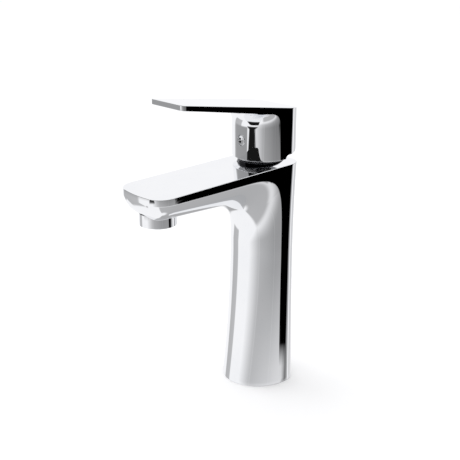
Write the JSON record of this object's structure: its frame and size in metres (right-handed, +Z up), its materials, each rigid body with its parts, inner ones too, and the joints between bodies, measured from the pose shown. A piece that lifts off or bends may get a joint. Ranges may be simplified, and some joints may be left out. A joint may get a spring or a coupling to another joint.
{
  "type": "bathroom mixer faucet",
  "caption": "Single-lever basin mixer with a flat-topped bent body, straight spout with aerator and a thin plate lever over a D-shaped hub.",
  "frame": {"origin": "middle of the base's flat underside, where the body stands on the basin", "axes": "+Z up along the column, -Y along the spout towards the user, +X to the right of a user who faces the faucet"},
  "size_m": [0.05, 0.1159, 0.2037],
  "materials": {
    "chrome": "polished chrome plate",
    "brass": "machined brass",
    "steel": "turned stainless steel",
    "rubber": "matt black rubber",
    "ceramic": "lapped alumina ceramic",
    "white_plastic": "moulded acetal",
    "grey_plastic": "moulded glass-filled nylon"
  },
  "bodies": {
    "body": {"body_casting": "chrome", "base_gasket": "rubber", "cartridge_housing": "grey_plastic", "cartridge_base": "grey_plastic", "cartridge_nut": "brass", "cartridge_o_ring": "rubber", "seal_hot": "rubber", "seal_cold": "rubber", "fixed_disc": "ceramic", "cap_ring": "chrome", "aerator_housing": "chrome", "aerator_insert": "white_plastic", "aerator_washer": "rubber", "flow_screen": "steel"},
    "turning_head": {"stem_guide": "white_plastic", "lever_pin": "steel"},
    "disc_carriage": {"moving_disc": "ceramic", "disc_driver": "white_plastic"},
    "lever": {"lever_handle": "chrome", "stem": "steel", "set_screw": "steel", "index_plug": "grey_plastic"}
  },
  "joints": [
    {"name": "mix_turn", "type": "hinge", "parent": "body", "child": "turning_head", "pos_m": [0, 0.0045, 0.15198], "axis": [0, 0, 1], "range_deg": [-45, 45]},
    {"name": "flow_lift", "type": "hinge", "parent": "turning_head", "child": "lever", "pos_m": [0, 0.0045, 0.15198], "axis": [-1, 0, 0], "range_deg": [0, 20]},
    {"name": "disc_slide", "type": "slide", "parent": "turning_head", "child": "disc_carriage", "axis": [0, -1, 0], "range_m": [0, 0.003]}
  ],
  "couplings": [
    {"joint": "disc_slide", "follows": "flow_lift", "m_per_rad": 0.0084}
  ]
}
